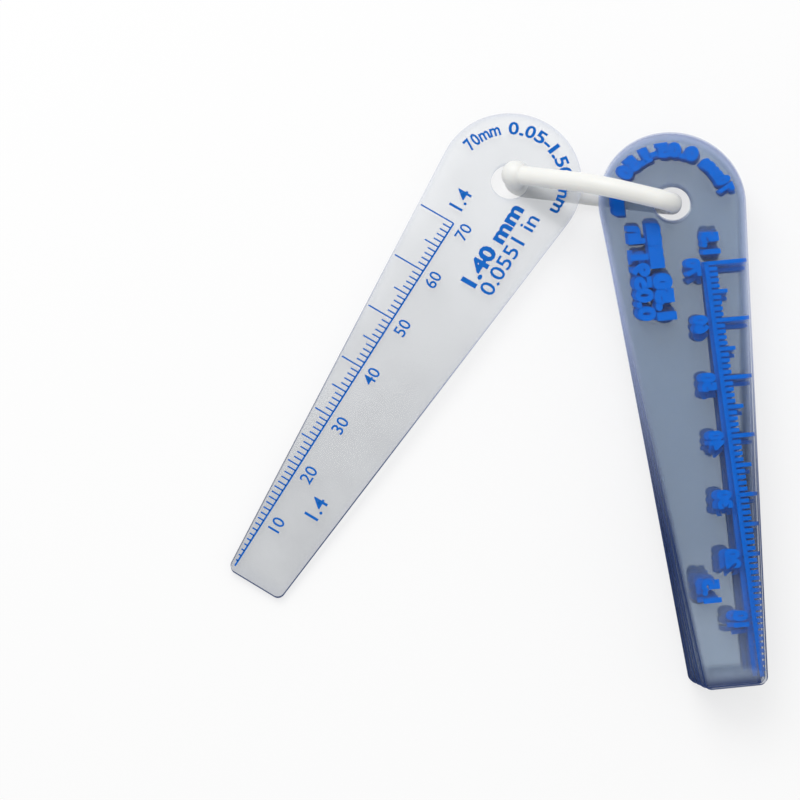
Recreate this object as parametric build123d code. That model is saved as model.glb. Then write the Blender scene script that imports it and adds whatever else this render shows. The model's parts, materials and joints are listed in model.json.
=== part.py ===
"""Plastic feeler gauge: clear tapered blades of graded thickness on a closed white strap.

All blades have one outline and differ in thickness. All but one lie in a stack, printed side
down, a little slid and fanned against each other. One blade is swung out beside the stack,
printed side up. The strap is one moulding: it lies on the table under both heads, goes up
through the stack's holes, arches back over the stack and snaps over a ball on its own other
end, above the hole of the fanned blade. The strap lifts the heads, so each blade slopes down
to a tip that rests on the table.

Units are millimetres. +Z is up and the table is z = 0. The stack points its tips towards -Y.
"""
from build123d import *
import math
import os

# Blade outline, the same for every blade
hole_to_tip = 82.5
head_radius = 12.3
tip_width = 10.0
tip_corner_radius = 1.2
hole_diameter = 6.6

# Blade thicknesses, the stack from its bottom up, and the blade that is swung out
stack_thicknesses = [0.05, 0.08, 0.10, 0.15, 0.20, 0.30, 0.40, 0.50, 0.60, 0.70, 0.80, 0.90,
                     1.00, 1.10, 1.20, 1.30, 1.50]
fanned_thickness = 1.40
blade_gap = 0.03

# How the stacked blades lie against each other: the bottom one, the top one and the unevenness
bottom_slide = (0.8, 1.35)
top_slide = (-0.8, -1.9)
bottom_fan = -0.95
top_fan = 1.0
uneven_slide = 0.22
uneven_fan = 0.3

# The fanned blade: its hole from the middle of the stack's holes, and its turn in plan
fanned_hole = (-26.6, 7.6)
fanned_turn = -36.5

# Strap: it hangs off the middle of the fanned blade's hole, towards the stack, and its arch is
# drawn a little towards the tips
strap_diameter = 3.3
strap_clearance = 0.05
run_clearance = 0.5
lower_bend_radius = 2.4
upper_bend_radius = 2.6
leg_shift = 0.75
arch_radius = 14.0
arch_rise = 0.2
arch_share = 0.5
arch_bow = 1.3

# Ball and cup that close the strap above the fanned blade
ball_radius = 1.55
ball_clearance = 0.1
cup_radius = 2.4
cup_floor = 1.7
cup_mouth_clearance = 0.35
neck_radius = 1.05
shoulder_height = 0.6
shoulder_clearance = 0.15


def blade(thickness):
    """One blade with its hole at the origin, its tip towards -Y and its underside at z = 0."""
    corner = Vector(tip_width / 2, -hole_to_tip)
    tangent_angle = math.atan2(corner.Y, corner.X) + math.acos(head_radius / corner.length)
    tangent_x = head_radius * math.cos(tangent_angle)
    tangent_y = head_radius * math.sin(tangent_angle)
    outline = [
        Line((-corner.X, corner.Y), (corner.X, corner.Y)),
        Line((corner.X, corner.Y), (tangent_x, tangent_y)),
        ThreePointArc((tangent_x, tangent_y), (0, head_radius), (-tangent_x, tangent_y)),
        Line((-tangent_x, tangent_y), (-corner.X, corner.Y)),
    ]
    face = make_face(outline)
    face = fillet(face.vertices().group_by(Axis.Y)[0], tip_corner_radius)
    face -= Circle(hole_diameter / 2)
    return extrude(face, thickness)


def between(bottom, top, share):
    return bottom + (top - bottom) * share


def stack_slide(share):
    """Where a hole lies across the stack, as a share of the way up."""
    return (between(bottom_slide[0], top_slide[0], share),
            between(bottom_slide[1], top_slide[1], share))


# Heights in the stack, from the underside of its bottom blade
undersides = []
stack_height = 0.0
for thickness in stack_thicknesses:
    undersides.append(stack_height)
    stack_height += thickness + blade_gap
stack_height -= blade_gap

# The blades' holes rest on the strap and their tips on the table
strap_radius = strap_diameter / 2
rest_height = strap_diameter + strap_clearance
bottom_reach = (hole_to_tip * math.cos(math.radians(bottom_fan))
                + tip_width / 2 * math.sin(math.radians(abs(bottom_fan))) - bottom_slide[1])
stack_lean = math.degrees(math.asin(rest_height / bottom_reach))
fanned_lean = math.degrees(math.asin(rest_height / hole_to_tip))

stack_frame = Location((0, 0, rest_height)) * Rotation(stack_lean, 0, 0)
fanned_frame = (Location((fanned_hole[0], fanned_hole[1], rest_height))
                * Rotation(0, 0, fanned_turn) * Rotation(fanned_lean, 0, 0))


def blade_name(thickness):
    return "blade_" + f"{thickness:.2f}".replace(".", "_")


def stacked_blade_frame(index):
    """Place of one stacked blade: slid, fanned and at its own height."""
    share = (undersides[index] + stack_thicknesses[index] / 2) / stack_height
    slide_x, slide_y = stack_slide(share)
    wobble = math.sin(2.4 * index)
    inside = math.sin(math.pi * share)
    return stack_frame * Location((slide_x + uneven_slide * wobble * inside,
                                   slide_y - uneven_slide * wobble * inside,
                                   undersides[index])) * Rotation(
        0, 0, between(bottom_fan, top_fan, share) + uneven_fan * wobble * inside)


def in_stack(share):
    """A point on the line of the stack's holes, as a share of the way up, on the table's axes."""
    slide_x, slide_y = stack_slide(share)
    return (stack_frame * Location((slide_x, slide_y, share * stack_height))).position


def strap():
    """The strap in one piece, from the ball round under and through the stack to the cup."""
    bottom = in_stack(0)
    top = in_stack(1)
    leg = (top - bottom) / (top.Z - bottom.Z)
    run_height = (top.Z + run_clearance + strap_radius
                  + head_radius * math.sin(math.radians(stack_lean)))
    low_corner = bottom - leg * (bottom.Z - strap_radius)
    high_corner = top + leg * (run_height - top.Z)

    fanned_top = (rest_height + fanned_thickness
                  + hole_diameter / 2 * math.sin(math.radians(fanned_lean)))
    leg_end = fanned_top + shoulder_clearance
    cup_height = leg_end + shoulder_height + cup_floor
    leg_x, leg_y = fanned_hole[0] + leg_shift, fanned_hole[1]
    cup_centre = Vector(leg_x, leg_y, cup_height)
    arch = Vector(between(high_corner.X, leg_x, arch_share),
                  between(high_corner.Y, leg_y, arch_share) - arch_bow, run_height + arch_rise)

    path = FilletPolyline(
        (leg_x, leg_y, leg_end), (leg_x, leg_y, strap_radius), low_corner, high_corner,
        arch, cup_centre,
        radius=[lower_bend_radius, lower_bend_radius, upper_bend_radius, arch_radius])
    rod = sweep(Plane(origin=path @ 0, z_dir=path % 0) * Circle(strap_radius), path=path)

    at_cup = Location(cup_centre)
    cup = Sphere(cup_radius)
    below = Location((0, 0, -cup_floor)) * Box(4 * cup_radius, 4 * cup_radius, 2 * cup_radius,
                                               align=(Align.CENTER, Align.CENTER, Align.MAX))
    mouth_radius = neck_radius + cup_mouth_clearance
    socket = Sphere(ball_radius + ball_clearance) + Cylinder(
        mouth_radius, 2 * cup_floor, align=(Align.CENTER, Align.CENTER, Align.MAX))
    closed = (rod + at_cup * cup) - at_cup * socket
    closed -= at_cup * below & Location((leg_x, leg_y, leg_end)) * Cylinder(
        2 * cup_radius, shoulder_height, align=(Align.CENTER, Align.CENTER, Align.MIN))

    shoulder = Location((leg_x, leg_y, leg_end)) * Cone(
        strap_radius, neck_radius, shoulder_height, align=(Align.CENTER, Align.CENTER, Align.MIN))
    neck = Location((leg_x, leg_y, leg_end)) * Cylinder(
        neck_radius, cup_height - leg_end, align=(Align.CENTER, Align.CENTER, Align.MIN))
    return closed + shoulder + neck + at_cup * Sphere(ball_radius)


pieces = {"loop_strap": strap()}
for index, thickness in enumerate(stack_thicknesses):
    pieces[blade_name(thickness)] = stacked_blade_frame(index) * blade(thickness)
pieces[blade_name(fanned_thickness)] = fanned_frame * blade(fanned_thickness)

# The origin goes to the middle of the whole object's footprint, on the table
boxes = [piece.bounding_box() for piece in pieces.values()]
middle_x = (min(box.min.X for box in boxes) + max(box.max.X for box in boxes)) / 2
middle_y = (min(box.min.Y for box in boxes) + max(box.max.Y for box in boxes)) / 2
to_origin = Location((-middle_x, -middle_y, 0))

os.makedirs("parts", exist_ok=True)
for name, piece in pieces.items():
    export_step(to_origin * piece, os.path.join("parts", name + ".step"))
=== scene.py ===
"""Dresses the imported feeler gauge: clear blades, their blue print, the white strap and the stage.

Everything is in metres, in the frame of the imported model. A blade's own axes run across it, along
it towards its head, and out of its printed side, with the origin in the middle of its hole. Sizes
on those axes are in millimetres.
"""
import json
import math

import bmesh
import bpy
from bpy.props import FloatProperty, FloatVectorProperty, PointerProperty
from mathutils import Matrix, Vector


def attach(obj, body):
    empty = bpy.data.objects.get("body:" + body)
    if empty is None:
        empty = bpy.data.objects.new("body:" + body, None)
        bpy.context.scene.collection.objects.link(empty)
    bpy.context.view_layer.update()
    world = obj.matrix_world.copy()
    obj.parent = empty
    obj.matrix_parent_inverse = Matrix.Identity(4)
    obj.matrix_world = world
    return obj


bl_info = {
    "name": "Plastic feeler gauge",
    "version": (1, 0, 0),
    "blender": (4, 5, 0),
    "location": "3D View > Sidebar > Feeler gauge",
    "description": "Clear plastic feeler blades with a printed scale, on a white strap",
    "category": "Object",
}

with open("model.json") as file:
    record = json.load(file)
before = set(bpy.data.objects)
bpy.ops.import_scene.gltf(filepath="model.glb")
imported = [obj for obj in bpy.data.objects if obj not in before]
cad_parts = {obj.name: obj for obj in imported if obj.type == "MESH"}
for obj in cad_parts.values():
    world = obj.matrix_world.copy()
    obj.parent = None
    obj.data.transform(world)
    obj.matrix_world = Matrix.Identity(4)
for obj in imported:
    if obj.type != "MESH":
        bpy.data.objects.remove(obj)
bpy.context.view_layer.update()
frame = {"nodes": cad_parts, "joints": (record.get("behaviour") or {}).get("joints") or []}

MM = 0.001
INCH = 25.4

# The blades' outline, and the scale from its zero's distance to the tip
HOLE_TO_TIP = 82.5
HEAD_RADIUS = 12.3
HALF_TIP = 5.0
HOLE_RADIUS = 3.3
SCALE_ZERO = 0.85
SCALE_LENGTH = 70

# The pieces: one blade is on top of the stack, and the fanned one lies apart
STRAP = "loop_strap"
FANNED = "blade_1_40"
TOP = "blade_1_50"
PREFIX = "blade_"
BLADES = sorted(name for name in frame["nodes"] if name.startswith(PREFIX))

# Corners further out from the hole than this share of the blade are its tip's
TIP_SHARE = 0.97

# Stretches along the blade in which its looks turn from the tip's to the head's, with the painted
# light and shade that they carry: the rim and cut edges go from painted shade to painted light, the
# milk from painted light to its own colour, and the haze of the blade apart from more painted shade to
# less
HEAD_TURN = (-62.0, -8.0)
MILK_TURN = (-74.0, -58.0)
HAZE_TURN = (-45.0, 5.0)

# The head is round from just below the hole, the hole's wall lies within a margin of its radius,
# and a face is a cut edge where the cosine between it and the printed side is under this
ROUND_FROM = -0.5
HOLE_MARGIN = 0.5
WALL_COSINE = 0.6

# Places of the print, across the blade and from its tip, and the arcs' angles in degrees
LABEL_ACROSS = -2.05
LABEL_DROP = 0.45
SHORT_SIZES = ((-5.5, 75.2), (2.1, 16.2))
LARGE_SIZE = (3.4, 71.0)
INCH_SIZE = (6.7, 71.0)
RANGE_ARC = (-33, 97)
LENGTH_ARC = (-82, -41)

# The ink starts this far off the face, and its bleed lies beyond it
INK_GAP = 0.004
BLEED_FILM = (0.016, 0.022)

# A capital's share of the font's size, and the most that a character is widened
CAPITAL_SHARE = 0.7
WIDEST = 1.6

# Room of the narrow and wide characters in an arc, and the share of it that a character fills
NARROW_AND_WIDE = {".": 0.5, "-": 0.7, " ": 0.5, "1": 0.7, "m": 1.5}
CHARACTER_FILL = 0.9

# How the print's unevenness changes from blade to blade, in radians
ACROSS_STEP = 5.1
ALONG_STEP = 3.7
ALONG_START = 1.0
SIZES_STEP = 2.9

# Enough for a ray that passes all the faces and films of the stack
CLEAR_BOUNCES = 128

# A blade's straight sides spread from the tip to the head by this angle from its middle line
SPREAD = (math.atan2(HOLE_TO_TIP, HALF_TIP)
          - math.acos(HEAD_RADIUS / math.hypot(HOLE_TO_TIP, HALF_TIP)))


def thickness_of(blade):
    """A blade's thickness in millimetres, from its node's name."""
    return float(blade.removeprefix(PREFIX).replace("_", "."))


def printed_side(blade):
    """The blade's own axes: across, towards the head, and out of the printed side."""
    hinge = next(joint for joint in frame["joints"] if joint["child"] == blade)
    hole = Vector(hinge["pos_m"])
    out = Vector(hinge["axis"]).normalized()
    far = [v.co for v in frame["nodes"][blade].data.vertices
           if (v.co - hole).length > TIP_SHARE * HOLE_TO_TIP * MM]
    along = hole - sum(far, Vector()) / len(far)
    along = (along - along.dot(out) * out).normalized()
    if blade != FANNED:
        out = -out
    across = along.cross(out)
    place = Matrix((across, along, out)).transposed().to_4x4()
    place.translation = hole + out * thickness_of(blade) / 2 * MM
    return place


def half_width(from_tip):
    """Half the blade's width, at a distance from its tip, below its round head."""
    return (HEAD_RADIUS + (from_tip - HOLE_TO_TIP) * math.sin(SPREAD)) / math.cos(SPREAD)


# Sizes and colours


class ClearSheet(bpy.types.PropertyGroup):
    clearness: FloatVectorProperty(
        name="Clearness", description="Share of light that passes through one millimetre of sheet",
        subtype="COLOR", size=3, min=0, max=1, default=(0.973, 0.980, 0.987))
    face_clearness: FloatVectorProperty(
        name="Clearness of a face", description="Share of light that passes through one face",
        subtype="COLOR", size=3, min=0, max=1, default=(0.990, 0.9925, 0.995))
    milk: FloatProperty(
        name="Milkiness", description="Share of light that each face of a blade scatters",
        subtype="FACTOR", min=0, max=1, default=0.03)
    top_milk: FloatProperty(
        name="Milkiness of the top blade", description="The same for the clear blade on top",
        subtype="FACTOR", min=0, max=1, default=0.01)
    milk_colour: FloatVectorProperty(
        name="Milk colour", description="Colour of the light that the sheet scatters",
        subtype="COLOR", size=3, min=0, max=1, default=(0.26, 0.35, 0.51))
    # Near the tip the milk is painted lighter: painted light on the same sheet
    tip_milk_colour: FloatVectorProperty(
        name="Milk colour at the tip", description="The same in the last part before the tip",
        subtype="COLOR", size=3, min=0, max=1, default=(0.62, 0.72, 0.86))
    # The haze of the blade apart is partly its own haze and partly painted shade: a grey veil that
    # darkens it, more from the tip to the middle than at the head
    haze: FloatProperty(
        name="Haze", description="Extra haze on each face of the blade that lies apart",
        subtype="FACTOR", min=0, max=1, default=0.27)
    head_haze: FloatProperty(
        name="Haze at the head", description="The same round its head",
        subtype="FACTOR", min=0, max=1, default=0.17)
    haze_colour: FloatVectorProperty(
        name="Haze colour", description="Colour of that haze",
        subtype="COLOR", size=3, min=0, max=1, default=(0.30, 0.31, 0.33))
    clouding: FloatProperty(
        name="Clouding", description="How uneven that haze is",
        subtype="FACTOR", min=0, max=1, default=0.5)
    # The rim is painted light and shade: a diffuse colour just inside each face's edge stands for the
    # light that the edge bends, a pale painted highlight round the head and dark painted shade near
    # the tip
    rim_width: FloatProperty(
        name="Rim width", description="How far in from its edge a blade bends light",
        min=0.1, max=4, default=1.3)
    end_rim_width: FloatProperty(
        name="End rim width", description="The same at the end of its tip",
        min=0.1, max=6, default=3.0)
    head_rim_cover: FloatProperty(
        name="Rim cover at the head",
        description="How much each face's rim hides just inside the edge, round the head",
        subtype="FACTOR", min=0, max=1, default=0.07)
    tip_rim_cover: FloatProperty(
        name="Rim cover at the tip",
        description="How much each face's rim hides just inside the edge, near the tip",
        subtype="FACTOR", min=0, max=1, default=0.27)
    head_rim: FloatVectorProperty(
        name="Rim at the head", description="Colour of the light that the rim bends, at the head",
        subtype="COLOR", size=3, min=0, max=1, default=(0.66, 0.72, 0.90))
    tip_rim: FloatVectorProperty(
        name="Rim at the tip", description="Colour of the light that the rim bends, at the tip",
        subtype="COLOR", size=3, min=0, max=1, default=(0.03, 0.055, 0.17))
    # The cut edges carry the sheet's tint together with painted light and shade: they are darker and
    # hide more near the tip (painted shade), and are paler and clearer round the head and in the hole
    # (painted light)
    head_wall_cover: FloatProperty(
        name="Cut edge cover at the head",
        description="How much of what is behind a cut edge is hidden, round the head",
        subtype="FACTOR", min=0, max=1, default=0.2)
    tip_wall_cover: FloatProperty(
        name="Cut edge cover at the tip",
        description="How much of what is behind a cut edge is hidden, near the tip",
        subtype="FACTOR", min=0, max=1, default=0.8)
    head_wall: FloatVectorProperty(
        name="Cut edge at the head", description="Colour of the cut edges round the head",
        subtype="COLOR", size=3, min=0, max=1, default=(0.48, 0.55, 0.82))
    head_wall_clearness: FloatVectorProperty(
        name="Through a cut edge at the head",
        description="Share of light that passes through a cut edge, round the head",
        subtype="COLOR", size=3, min=0, max=1, default=(0.93, 0.945, 0.98))
    tip_wall_clearness: FloatVectorProperty(
        name="Through a cut edge at the tip",
        description="Share of light that passes through a cut edge, near the tip",
        subtype="COLOR", size=3, min=0, max=1, default=(0.55, 0.62, 0.75))
    tip_wall: FloatVectorProperty(
        name="Cut edge at the tip", description="Colour of the cut edges near the tip",
        subtype="COLOR", size=3, min=0, max=1, default=(0.04, 0.065, 0.18))
    hole_wall: FloatVectorProperty(
        name="Cut edge in the hole", description="Colour of the hole's wall",
        subtype="COLOR", size=3, min=0, max=1, default=(0.45, 0.52, 0.66))
    gloss: FloatProperty(
        name="Gloss", description="Share of light that a stacked blade's face mirrors, seen square on",
        subtype="FACTOR", min=0, max=1, default=0.003)
    apart_gloss: FloatProperty(
        name="Gloss of the blade apart", description="The same for the blade that lies apart",
        subtype="FACTOR", min=0, max=1, default=0.03)
    grazing_gloss: FloatProperty(
        name="Grazing gloss", description="Share of light that is added to it at a grazing look",
        subtype="FACTOR", min=0, max=1, default=0.8)
    roughness: FloatProperty(
        name="Roughness", description="Roughness of the glossy faces",
        subtype="FACTOR", min=0, max=1, default=0.16)


class BladePrint(bpy.types.PropertyGroup):
    # One blue ink in two copies: the stack's is painted lighter, by about half again, as painted light
    # that makes up for the light lost under the blades above it
    ink: FloatVectorProperty(
        name="Ink", description="Colour of the print on the blades of the stack",
        subtype="COLOR", size=3, min=0, max=1, default=(0.0003, 0.165, 0.74))
    apart_ink: FloatVectorProperty(
        name="Ink of the blade apart", description="Colour of the print on the blade that lies apart",
        subtype="COLOR", size=3, min=0, max=1, default=(0.006, 0.125, 0.50))
    ink_unevenness: FloatProperty(
        name="Ink unevenness", description="How much the ink's colour varies",
        subtype="FACTOR", min=0, max=1, default=0.15)
    film: FloatProperty(
        name="Ink thickness", description="Thickness of the printed film",
        min=0.002, max=0.01, default=0.008)
    bleed: FloatProperty(
        name="Bleed", description="How far a faint tint spreads round the print, on the stack",
        min=0, max=1, default=0.2)
    bleed_cover: FloatProperty(
        name="Bleed cover", description="How much each face of that tint hides",
        subtype="FACTOR", min=0, max=1, default=0.03)
    line_offset: FloatProperty(
        name="Scale line", description="Scale line from the middle of the blade",
        min=2, max=5, default=4.25)
    line_width: FloatProperty(
        name="Line width", description="Width of the scale line", min=0.1, max=0.6, default=0.32)
    tick_width: FloatProperty(
        name="Tick width", description="Width of a tick", min=0.1, max=0.5, default=0.26)
    short_tick: FloatProperty(
        name="Short tick", description="Length of a one-millimetre tick",
        min=0.5, max=3, default=1.55)
    middle_tick: FloatProperty(
        name="Middle tick", description="Length of a five-millimetre tick",
        min=1, max=4, default=2.75)
    edge_margin: FloatProperty(
        name="Edge margin", description="Ticks stop at least this far from the edge",
        min=0, max=2, default=0.5)
    uneven_across: FloatProperty(
        name="Unevenness across", description="How far a blade's print may lie off, across it",
        min=0, max=0.3, default=0.18)
    uneven_along: FloatProperty(
        name="Unevenness along", description="How far a blade's scale may lie off, along it",
        min=0, max=1, default=0.15)
    run_shift: FloatProperty(
        name="Print run shift",
        description="How far the scale of every other blade lies off, along it, as of another run",
        min=0, max=2, default=1.2)
    uneven_sizes: FloatProperty(
        name="Unevenness of the sizes", description="How far its thickness may lie off, along it",
        min=0, max=1, default=0.25)
    cover: FloatProperty(
        name="Ink cover", description="How much the ink hides, on the blades of the stack",
        subtype="FACTOR", min=0, max=1, default=0.9)
    label_height: FloatProperty(
        name="Label height", description="Height of the scale's numbers",
        min=1, max=4, default=2.1)
    size_height: FloatProperty(
        name="Size height", description="Height of the blade's thickness number by the scale",
        min=1, max=4, default=2.55)
    large_height: FloatProperty(
        name="Large size height", description="Height of the large number in millimetres",
        min=1, max=4, default=2.65)
    inch_height: FloatProperty(
        name="Inch size height", description="Height of the number in inches",
        min=1, max=4, default=2.6)
    arc_radius: FloatProperty(
        name="Arc radius", description="Radius of the middle of the arc of numbers",
        min=7, max=11, default=9.6)
    arc_height: FloatProperty(
        name="Arc height", description="Height of the characters in the arc",
        min=1, max=4, default=2.2)


class Strap(bpy.types.PropertyGroup):
    colour: FloatVectorProperty(
        name="Colour", description="Colour of the moulded strap",
        subtype="COLOR", size=3, min=0, max=1, default=(0.86, 0.86, 0.83))
    roughness: FloatProperty(
        name="Roughness", description="Roughness of the moulded surface",
        subtype="FACTOR", min=0, max=1, default=0.42)


class Stage(bpy.types.PropertyGroup):
    camera_place: FloatVectorProperty(
        name="Camera", description="Place of the camera",
        subtype="TRANSLATION", size=3, default=(-0.03805, -0.14548, 0.48484))
    camera_turn: FloatVectorProperty(
        name="Camera turn", description="Turn of the camera",
        subtype="EULER", size=3,
        default=(math.radians(17.2524), math.radians(-1.0844), math.radians(-5.0662)))
    lens: FloatProperty(
        name="Lens", description="Focal length for a sensor 36 mm wide, in millimetres",
        min=20, max=300, default=135.08)
    floor_colour: FloatVectorProperty(
        name="Floor", description="Colour of the floor",
        subtype="COLOR", size=3, min=0, max=1, default=(0.90, 0.90, 0.90))
    floor_reach: FloatProperty(
        name="Floor reach", description="From the middle of the floor to its sides",
        unit="LENGTH", min=0.5, max=10, default=3.0)
    backdrop: FloatProperty(
        name="White backdrop", description="How much of the floor is seen as plain white",
        subtype="FACTOR", min=0, max=1, default=0.7)
    sky: FloatProperty(
        name="Sky", description="Strength of the even light from all round",
        min=0, max=2, default=0.62)
    key: FloatProperty(
        name="Key lamp", description="Power of the large lamp above", min=0, max=20, default=2.8)
    key_size: FloatProperty(
        name="Key lamp size", description="Side of the square lamp",
        unit="LENGTH", min=0.05, max=2, default=0.5)
    key_place: FloatVectorProperty(
        name="Key lamp place", description="Place of the lamp, which points at the middle of the set",
        subtype="TRANSLATION", size=3, default=(-0.15, 0.35, 0.6))


# Helpers


def add(tree, kind, label="", **sockets):
    """A shader node with some of its inputs set by name."""
    node = tree.nodes.new(kind)
    node.label = label
    for name, value in sockets.items():
        connect(tree, value, node.inputs[name.replace("_", " ")])
    return node


def connect(tree, value, socket):
    """Set a socket to a value, or link it to another node's output."""
    if isinstance(value, bpy.types.NodeSocket):
        tree.links.new(value, socket)
    else:
        socket.default_value = value


def maths(tree, operation, *values):
    node = tree.nodes.new("ShaderNodeMath")
    node.operation = operation
    for socket, value in zip(node.inputs, values):
        connect(tree, value, socket)
    return node.outputs[0]


def vectors(tree, operation, *values):
    node = tree.nodes.new("ShaderNodeVectorMath")
    node.operation = operation
    for socket, value in zip(node.inputs, values):
        connect(tree, value, socket)
    return node.outputs["Value" if operation in {"DOT_PRODUCT", "LENGTH"} else "Vector"]


def ramp(tree, value, start, end, low, high):
    """A smooth change from low to high while the value goes from start to end."""
    node = add(tree, "ShaderNodeMapRange", Value=value, From_Min=start, From_Max=end,
               To_Min=low, To_Max=high)
    node.interpolation_type = "SMOOTHSTEP"
    return node.outputs["Result"]


def blend(tree, share, first, second):
    """A colour between two others."""
    node = tree.nodes.new("ShaderNodeMix")
    node.data_type = "RGBA"
    for name, value in (("Factor_Float", share), ("A_Color", first), ("B_Color", second)):
        connect(tree, value, next(s for s in node.inputs if s.identifier == name))
    return next(s for s in node.outputs if s.identifier == "Result_Color")


def mix_shaders(tree, share, first, second):
    node = tree.nodes.new("ShaderNodeMixShader")
    for socket, value in zip(node.inputs, (share, first, second)):
        connect(tree, value, socket)
    return node.outputs[0]


def diffuse(tree, label, colour):
    return add(tree, "ShaderNodeBsdfDiffuse", label, Color=colour).outputs[0]


def new_material(name):
    material = bpy.data.materials.new(name)
    material.use_nodes = True
    material.node_tree.nodes.clear()
    return material, material.node_tree


def finish_material(tree, shader):
    output = tree.nodes.new("ShaderNodeOutputMaterial")
    tree.links.new(shader, output.inputs["Surface"])


def give(obj, material):
    obj.data.materials.clear()
    obj.data.materials.append(material)


def colour4(colour, factor=1.0):
    return (*(min(1.0, c * factor) for c in colour), 1.0)


def object_from(name, bm):
    mesh = bpy.data.meshes.new(name)
    bm.to_mesh(mesh)
    bm.free()
    obj = bpy.data.objects.new(name, mesh)
    bpy.context.scene.collection.objects.link(obj)
    return obj


# Clear blades


class BladePoint:
    """The point that a blade's material shades, by the blade's own axes, in millimetres."""

    def __init__(self, tree, blade):
        coordinates = tree.nodes.new("ShaderNodeTexCoord")
        place = printed_side(blade)
        x_axis, y_axis, z_axis = (column.xyz for column in place.col[:3])
        hole = place.translation - z_axis * thickness_of(blade) / 2 * MM
        self.position = coordinates.outputs["Object"]
        point = vectors(tree, "MULTIPLY_ADD", self.position, (1 / MM,) * 3, -hole / MM)
        self.across = maths(tree, "ABSOLUTE", vectors(tree, "DOT_PRODUCT", point, x_axis))
        self.along = vectors(tree, "DOT_PRODUCT", point, y_axis)
        self.radius = vectors(tree, "LENGTH", point)
        self.to_head = ramp(tree, self.along, *HEAD_TURN, 0.0, 1.0)
        facing = vectors(tree, "DOT_PRODUCT", coordinates.outputs["Normal"], z_axis)
        self.on_wall = maths(tree, "LESS_THAN", maths(tree, "ABSOLUTE", facing), WALL_COSINE)


def edge_reach(tree, at, end_share):
    """How far out a point lies, as a radius: the head's radius all round the blade's outline.

    Towards the end of the tip it grows only by that share of the distance, for a wider rim there.
    """
    beside = maths(tree, "MULTIPLY_ADD", at.across, math.cos(SPREAD),
                   maths(tree, "MULTIPLY", at.along, -math.sin(SPREAD)))
    at_head = maths(tree, "MULTIPLY", maths(tree, "GREATER_THAN", at.along, ROUND_FROM), at.radius)
    at_tip = maths(tree, "MULTIPLY_ADD", at.along, -end_share,
                   HEAD_RADIUS - HOLE_TO_TIP * end_share)
    return maths(tree, "MAXIMUM", maths(tree, "MAXIMUM", beside, at_head), at_tip)


def seen_through(tree, label, colour):
    return add(tree, "ShaderNodeBsdfTransparent", label, Color=colour).outputs[0]


def face_shader(tree, at, blade, looks):
    """A flat face: clear and a little milky, glossy, with a painted rim just inside its edge: a
    painted highlight round the head and painted shade near the tip, where real plastic bends light at
    its edge.
    """
    half = thickness_of(blade) / 2
    passed = [f * c ** half for f, c in zip(looks.face_clearness, looks.clearness)]
    through = seen_through(tree, "seen through a face", colour4(passed))
    reach = edge_reach(tree, at, looks.rim_width / looks.end_rim_width)
    rim = ramp(tree, reach, HEAD_RADIUS - looks.rim_width, HEAD_RADIUS, 0.0, 1.0)
    painted_rim_colour, milk_colour = colour4(looks.head_rim), colour4(looks.milk_colour)
    rim_cover, gloss = looks.head_rim_cover, looks.apart_gloss
    # On the stack the painted rim turns from dark painted shade at the tip to a pale painted highlight
    # at the head
    if blade != FANNED:
        painted_rim_colour = blend(tree, at.to_head, colour4(looks.tip_rim), painted_rim_colour)
        # Painted light: the milk is lighter in the last part before the tip
        milk_colour = blend(tree, ramp(tree, at.along, *MILK_TURN, 0.0, 1.0),
                            colour4(looks.tip_milk_colour), milk_colour)
        rim_cover = ramp(tree, at.along, *HEAD_TURN, looks.tip_rim_cover, looks.head_rim_cover)
        gloss = looks.gloss
    milk = looks.top_milk if blade in {TOP, FANNED} else looks.milk
    face = mix_shaders(tree, maths(tree, "MULTIPLY_ADD", rim, rim_cover, milk), through,
                       diffuse(tree, "milk and rim", blend(tree, rim, milk_colour, painted_rim_colour)))
    # The blade apart gets a grey veil: partly real haze, partly painted shade
    if blade == FANNED:
        face = mix_shaders(tree, haze_share(tree, at, looks), face,
                           diffuse(tree, "haze", colour4(looks.haze_colour)))
    facing = add(tree, "ShaderNodeLayerWeight", Blend=0.5).outputs["Facing"]
    facing = maths(tree, "MULTIPLY", facing, facing)
    shine = maths(tree, "MULTIPLY_ADD", maths(tree, "MULTIPLY", facing, facing),
                  looks.grazing_gloss, gloss)
    mirror = add(tree, "ShaderNodeBsdfGlossy", "gloss", Color=(1.0, 1.0, 1.0, 1.0),
                 Roughness=looks.roughness)
    return mix_shaders(tree, shine, face, mirror.outputs[0])


def haze_share(tree, at, looks):
    """The clouded haze of the blade apart, partly real haze and partly painted shade, fainter towards
    its head.
    """
    cloud = add(tree, "ShaderNodeTexNoise", "faint clouding", Scale=120.0, Detail=4.0,
                Vector=at.position)
    uneven = maths(tree, "MULTIPLY_ADD", cloud.outputs["Fac"], looks.clouding,
                   1 - looks.clouding / 2)
    return maths(tree, "MULTIPLY", uneven,
                 ramp(tree, at.along, *HAZE_TURN, looks.haze, looks.head_haze))


def cut_edge_shader(tree, at, looks):
    """A cut edge in the sheet's blue tint, painted by place: dark painted shade near the tip, pale
    painted light round the head and in the hole, where real plastic bends light through its edge.
    """
    through = seen_through(tree, "seen through a cut edge", blend(
        tree, at.to_head, colour4(looks.tip_wall_clearness), colour4(looks.head_wall_clearness)))
    colour = blend(tree, at.to_head, colour4(looks.tip_wall), colour4(looks.head_wall))
    in_hole = maths(tree, "LESS_THAN", at.radius, HOLE_RADIUS + HOLE_MARGIN)
    colour = blend(tree, in_hole, colour, colour4(looks.hole_wall))
    cover = ramp(tree, at.along, *HEAD_TURN, looks.tip_wall_cover, looks.head_wall_cover)
    return mix_shaders(tree, cover, through, diffuse(tree, "cut edge", colour))


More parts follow.
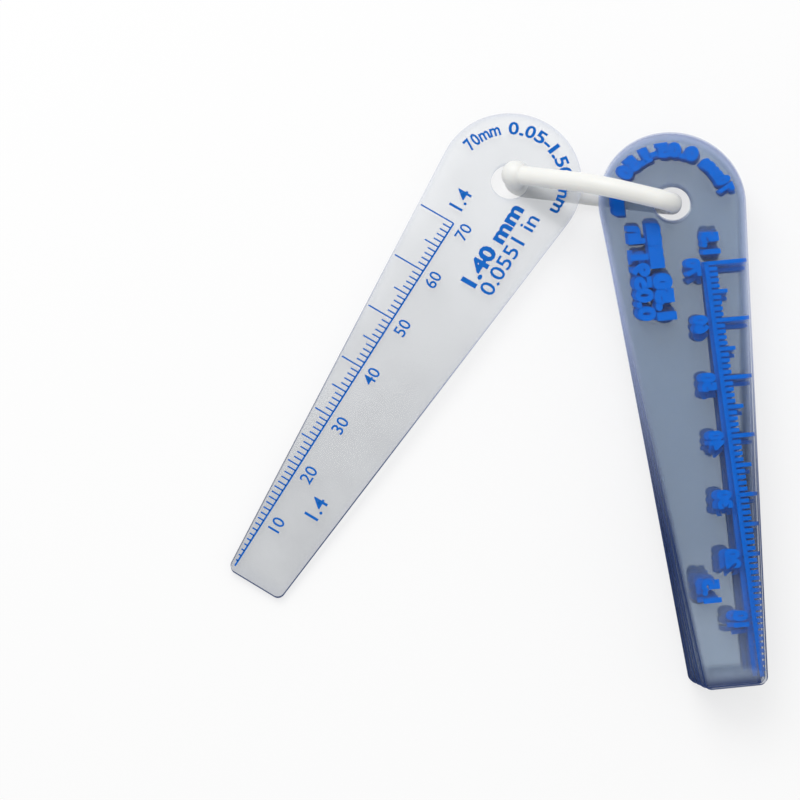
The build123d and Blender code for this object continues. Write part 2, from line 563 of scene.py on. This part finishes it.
def sheet_material(blade, looks):
    """Clear sheet plastic, tinted by its thickness, with its own faces and cut edges."""
    material, tree = new_material(f"clear sheet {thickness_of(blade):.2f} mm")
    at = BladePoint(tree, blade)
    finish_material(tree, mix_shaders(tree, at.on_wall, face_shader(tree, at, blade, looks),
                                      cut_edge_shader(tree, at, looks)))
    return material


class GAUGE_OT_clear_sheet(bpy.types.Operator):
    """Give every blade clear plastic that is tinted by its own thickness"""
    bl_idname = "gauge.clear_sheet"
    bl_label = "Clear blades"

    def execute(self, context):
        looks = context.scene.gauge_sheet
        for blade in BLADES:
            give(frame["nodes"][blade], sheet_material(blade, looks))
        return {"FINISHED"}


# Print


class Film:
    """A printed layer: its underside and top above the blade's face, and how far it spreads."""

    def __init__(self, low, high, spread=0.0):
        self.middle, self.depth, self.spread = (low + high) / 2, high - low, spread


def ink_bar(bm, across, along, width, length, film):
    """One printed bar, given by its middle and size."""
    place = Matrix.Translation((across, along, film.middle))
    size = Matrix.Diagonal((width + 2 * film.spread, length + 2 * film.spread, film.depth, 1))
    bmesh.ops.create_cube(bm, size=1, matrix=place @ size)


def ink_text(bm, text, height, place, film, stretch=1.0, weight=0.0, width=0.0):
    """Printed characters, centred on place and lying in its plane, stretched towards a width."""
    curve = bpy.data.curves.new("characters", "FONT")
    curve.body = text
    curve.align_x = "CENTER"
    curve.size = height / CAPITAL_SHARE
    curve.offset = weight + film.spread
    curve.resolution_u = 3
    curve.extrude = film.depth / 2
    curve.fill_mode = "BOTH"
    holder = bpy.data.objects.new("characters", curve)
    bpy.context.scene.collection.objects.link(holder)
    bpy.context.view_layer.update()
    mesh = bpy.data.meshes.new_from_object(holder)
    left, right = (pick(v.co.x for v in mesh.vertices) for pick in (min, max))
    if width:
        stretch = min(WIDEST, width / (right - left - 2 * film.spread))
    mesh.transform(place @ Matrix.Translation((0, -height / 2, film.middle))
                   @ Matrix.Diagonal((stretch, 1, 1, 1))
                   @ Matrix.Translation((-(left + right) / 2, 0, 0)))
    bm.from_mesh(mesh)
    bpy.data.objects.remove(holder)
    bpy.data.curves.remove(curve)
    bpy.data.meshes.remove(mesh)


def along_blade(across, from_tip):
    """Text that reads towards the head, with its top towards the scale."""
    return (Matrix.Translation((across, from_tip - HOLE_TO_TIP, 0))
            @ Matrix.Rotation(math.radians(90), 4, "Z"))


def print_scale(bm, zero, film, looks):
    """The millimetre scale with its numbers, whose zero lies this far from the tip."""
    line = -looks.line_offset
    ink_bar(bm, line, zero + SCALE_LENGTH / 2 - HOLE_TO_TIP, looks.line_width, SCALE_LENGTH, film)
    for mark in range(1, SCALE_LENGTH + 1):
        from_tip = zero + mark
        length = half_width(from_tip) - looks.edge_margin - looks.line_offset
        if mark % 10:
            length = min(length, looks.short_tick if mark % 5 else looks.middle_tick)
        ink_bar(bm, line - length / 2, from_tip - HOLE_TO_TIP, length, looks.tick_width, film)
        if mark % 10 == 0:
            ink_text(bm, str(mark), looks.label_height,
                     along_blade(LABEL_ACROSS, from_tip - LABEL_DROP), film, weight=0.03)


def print_arc(bm, text, start, end, film, looks):
    """Characters round the head, turned to face out, from one angle to another in degrees."""
    room = [NARROW_AND_WIDE.get(character, 1.0) for character in text]
    unit = math.radians(end - start) / sum(room)
    for index, character in enumerate(text):
        angle = math.radians(start) + unit * (sum(room[:index]) + room[index] / 2)
        if character == " ":
            continue
        middle = Vector((math.sin(angle), math.cos(angle), 0)) * looks.arc_radius
        ink_text(bm, character, looks.arc_height,
                 Matrix.Translation(middle) @ Matrix.Rotation(-angle, 4, "Z"),
                 film, weight=0.08,
                 width=CHARACTER_FILL * room[index] * unit * looks.arc_radius)


def print_sizes(bm, thickness, uneven, film, looks):
    """The blade's own thickness: twice by the scale, and large beside the head in both units."""
    short = f"{thickness:.2f}" if round(thickness * 100) % 10 else f"{thickness:.1f}"

    def row(text, height, place, **style):
        across, from_tip = place
        ink_text(bm, text, height, along_blade(across, from_tip + uneven), film, **style)

    for place in SHORT_SIZES:
        row(short, looks.size_height, place, weight=0.05)
    row(f"{thickness:.2f} mm", looks.large_height, LARGE_SIZE, stretch=1.3, weight=0.16)
    row(f"{thickness / INCH:.4f} in", looks.inch_height, INCH_SIZE, stretch=1.2, weight=0.04)


def ink_material(name, ink, unevenness, cover):
    """Blue ink, a little uneven in density."""
    material, tree = new_material(name)
    coordinates = tree.nodes.new("ShaderNodeTexCoord")
    density = add(tree, "ShaderNodeTexNoise", "uneven ink", Scale=900.0, Detail=2.0,
                  Vector=coordinates.outputs["Object"])
    shade = blend(tree, density.outputs["Fac"], colour4(ink, 1 - unevenness),
                  colour4(ink, 1 + unevenness))
    shader = add(tree, "ShaderNodeBsdfPrincipled", "ink", Base_Color=shade, Roughness=0.45,
                 Alpha=cover)
    shader.inputs["Specular IOR Level"].default_value = 0.05
    finish_material(tree, shader.outputs[0])
    return material


def printed_films(order, blade, looks):
    """All the print of one blade as one mesh, with a material slot for each film."""
    across = looks.uneven_across * math.sin(ACROSS_STEP * order)
    along = looks.uneven_along * math.sin(ALONG_STEP * order + ALONG_START)
    uneven = looks.uneven_sizes * math.sin(SIZES_STEP * order)
    zero = SCALE_ZERO + looks.run_shift * (order % 2 - 0.5)
    films = [Film(INK_GAP, INK_GAP + looks.film)]
    if blade == FANNED:
        across, along, uneven, zero = 0.0, 0.0, 0.0, SCALE_ZERO
    else:
        films.append(Film(*BLEED_FILM, looks.bleed))
    thinnest, thickest = thickness_of(BLADES[0]), thickness_of(BLADES[-1])
    bm = bmesh.new()
    for layer, film in enumerate(films):
        before = len(bm.faces)
        print_scale(bm, zero, film, looks)
        print_arc(bm, f"{thinnest:.2f}-{thickest:.2f} mm", *RANGE_ARC, film, looks)
        print_arc(bm, f"{SCALE_LENGTH}mm", *LENGTH_ARC, film, looks)
        print_sizes(bm, thickness_of(blade), uneven, film, looks)
        bm.faces.ensure_lookup_table()
        for face in bm.faces[before:]:
            face.material_index = layer
    bmesh.ops.transform(bm, verts=bm.verts, matrix=printed_side(blade) @ Matrix.Scale(MM, 4)
                        @ Matrix.Translation((across, along, 0)))
    return bm


class GAUGE_OT_blade_print(bpy.types.Operator):
    """Print the scale and the numbers on one side of every blade"""
    bl_idname = "gauge.blade_print"
    bl_label = "Blade print"

    def execute(self, context):
        looks = context.scene.gauge_print
        # The stack's ink is a lighter copy of the blade apart's: painted light
        lit_stack_ink = ink_material("blue ink of the stack", looks.ink, looks.ink_unevenness,
                                 looks.cover)
        bleed_ink = ink_material("bled ink", looks.ink, looks.ink_unevenness, looks.bleed_cover)
        apart_ink = ink_material("blue ink", looks.apart_ink, looks.ink_unevenness, 1.0)
        for order, blade in enumerate(BLADES):
            piece = object_from("print_" + blade.removeprefix(PREFIX),
                                printed_films(order, blade, looks))
            if blade == FANNED:
                give(piece, apart_ink)
            else:
                give(piece, lit_stack_ink)
                piece.data.materials.append(bleed_ink)
            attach(piece, blade)
        return {"FINISHED"}


# Strap


class GAUGE_OT_white_strap(bpy.types.Operator):
    """Give the strap soft white moulded plastic"""
    bl_idname = "gauge.white_strap"
    bl_label = "White strap"

    def execute(self, context):
        looks = context.scene.gauge_strap
        material, tree = new_material("white moulded plastic")
        coordinates = tree.nodes.new("ShaderNodeTexCoord")
        flow = add(tree, "ShaderNodeTexNoise", "flow marks", Scale=260.0, Detail=4.0,
                   Vector=coordinates.outputs["Object"])
        shade = blend(tree, flow.outputs["Fac"], colour4(looks.colour, 0.95),
                      colour4(looks.colour))
        grain = add(tree, "ShaderNodeTexNoise", "fine grain", Scale=2500.0, Detail=3.0,
                    Vector=coordinates.outputs["Object"])
        bump = add(tree, "ShaderNodeBump", Strength=0.12, Distance=0.0001,
                   Height=grain.outputs["Fac"])
        shader = add(tree, "ShaderNodeBsdfPrincipled", "strap", Base_Color=shade,
                     Roughness=looks.roughness, Normal=bump.outputs["Normal"],
                     Subsurface_Weight=0.25, Subsurface_Radius=(1.0, 0.9, 0.8),
                     Subsurface_Scale=0.0015)
        finish_material(tree, shader.outputs[0])
        give(frame["nodes"][STRAP], material)
        return {"FINISHED"}


# Stage


class GAUGE_OT_stage(bpy.types.Operator):
    """Add the floor, the lamps and the camera"""
    bl_idname = "gauge.stage"
    bl_label = "Stage"

    def execute(self, context):
        looks = context.scene.gauge_stage
        scene = context.scene
        bm = bmesh.new()
        bmesh.ops.create_grid(bm, x_segments=1, y_segments=1, size=looks.floor_reach)
        floor = object_from("floor", bm)
        material, tree = new_material("pale floor")
        seen = add(tree, "ShaderNodeLightPath")
        straight = maths(tree, "MAXIMUM", seen.outputs["Is Camera Ray"], maths(
            tree, "MAXIMUM", seen.outputs["Is Glossy Ray"], seen.outputs["Is Transmission Ray"]))
        share = maths(tree, "MULTIPLY", straight, looks.backdrop)
        white = add(tree, "ShaderNodeEmission", "plain white", Color=(1.0, 1.0, 1.0, 1.0),
                    Strength=1.0)
        finish_material(tree, mix_shaders(
            tree, share, diffuse(tree, "floor", colour4(looks.floor_colour)), white.outputs[0]))
        give(floor, material)

        world = bpy.data.worlds.new("studio")
        world.use_nodes = True
        world.node_tree.nodes["Background"].inputs["Color"].default_value = (1, 1, 1, 1)
        world.node_tree.nodes["Background"].inputs["Strength"].default_value = looks.sky
        scene.world = world

        lamp = bpy.data.lights.new("key", "AREA")
        lamp.shape, lamp.size, lamp.energy = "SQUARE", looks.key_size, looks.key
        key = bpy.data.objects.new("key", lamp)
        key.location = looks.key_place
        key.rotation_euler = (-key.location).to_track_quat("-Z", "Y").to_euler()
        scene.collection.objects.link(key)

        data = bpy.data.cameras.new("camera")
        data.lens, data.sensor_width = looks.lens, 36.0
        data.clip_start = 0.01
        camera = bpy.data.objects.new("camera", data)
        camera.location = looks.camera_place
        camera.rotation_euler = looks.camera_turn
        scene.collection.objects.link(camera)
        scene.camera = camera
        scene.view_settings.view_transform = "Standard"
        scene.cycles.transparent_max_bounces = CLEAR_BOUNCES
        return {"FINISHED"}


# Add-on


class GAUGE_PT_panel(bpy.types.Panel):
    """The feeler gauge's pieces and sizes"""
    bl_idname = "GAUGE_PT_panel"
    bl_label = "Feeler gauge"
    bl_space_type = "VIEW_3D"
    bl_region_type = "UI"
    bl_category = "Feeler gauge"

    def draw(self, context):
        for group, operator in PARTS:
            box = self.layout.box()
            looks = getattr(context.scene, group)
            for name in looks.bl_rna.properties.keys():
                if name not in {"rna_type", "name"}:
                    box.prop(looks, name)
            box.operator(operator.bl_idname)


GROUPS = {"gauge_sheet": ClearSheet, "gauge_print": BladePrint, "gauge_strap": Strap,
          "gauge_stage": Stage}
PARTS = [("gauge_sheet", GAUGE_OT_clear_sheet), ("gauge_print", GAUGE_OT_blade_print),
         ("gauge_strap", GAUGE_OT_white_strap), ("gauge_stage", GAUGE_OT_stage)]
CLASSES = [*GROUPS.values(), *(operator for _, operator in PARTS), GAUGE_PT_panel]


def register():
    for cls in CLASSES:
        bpy.utils.register_class(cls)
    for name, group in GROUPS.items():
        setattr(bpy.types.Scene, name, PointerProperty(type=group))


def unregister():
    for name in GROUPS:
        delattr(bpy.types.Scene, name)
    for cls in reversed(CLASSES):
        bpy.utils.unregister_class(cls)


def main():
    register()
    bpy.ops.gauge.clear_sheet()
    bpy.ops.gauge.blade_print()
    bpy.ops.gauge.white_strap()
    bpy.ops.gauge.stage()


if __name__ == "__main__":
    main()
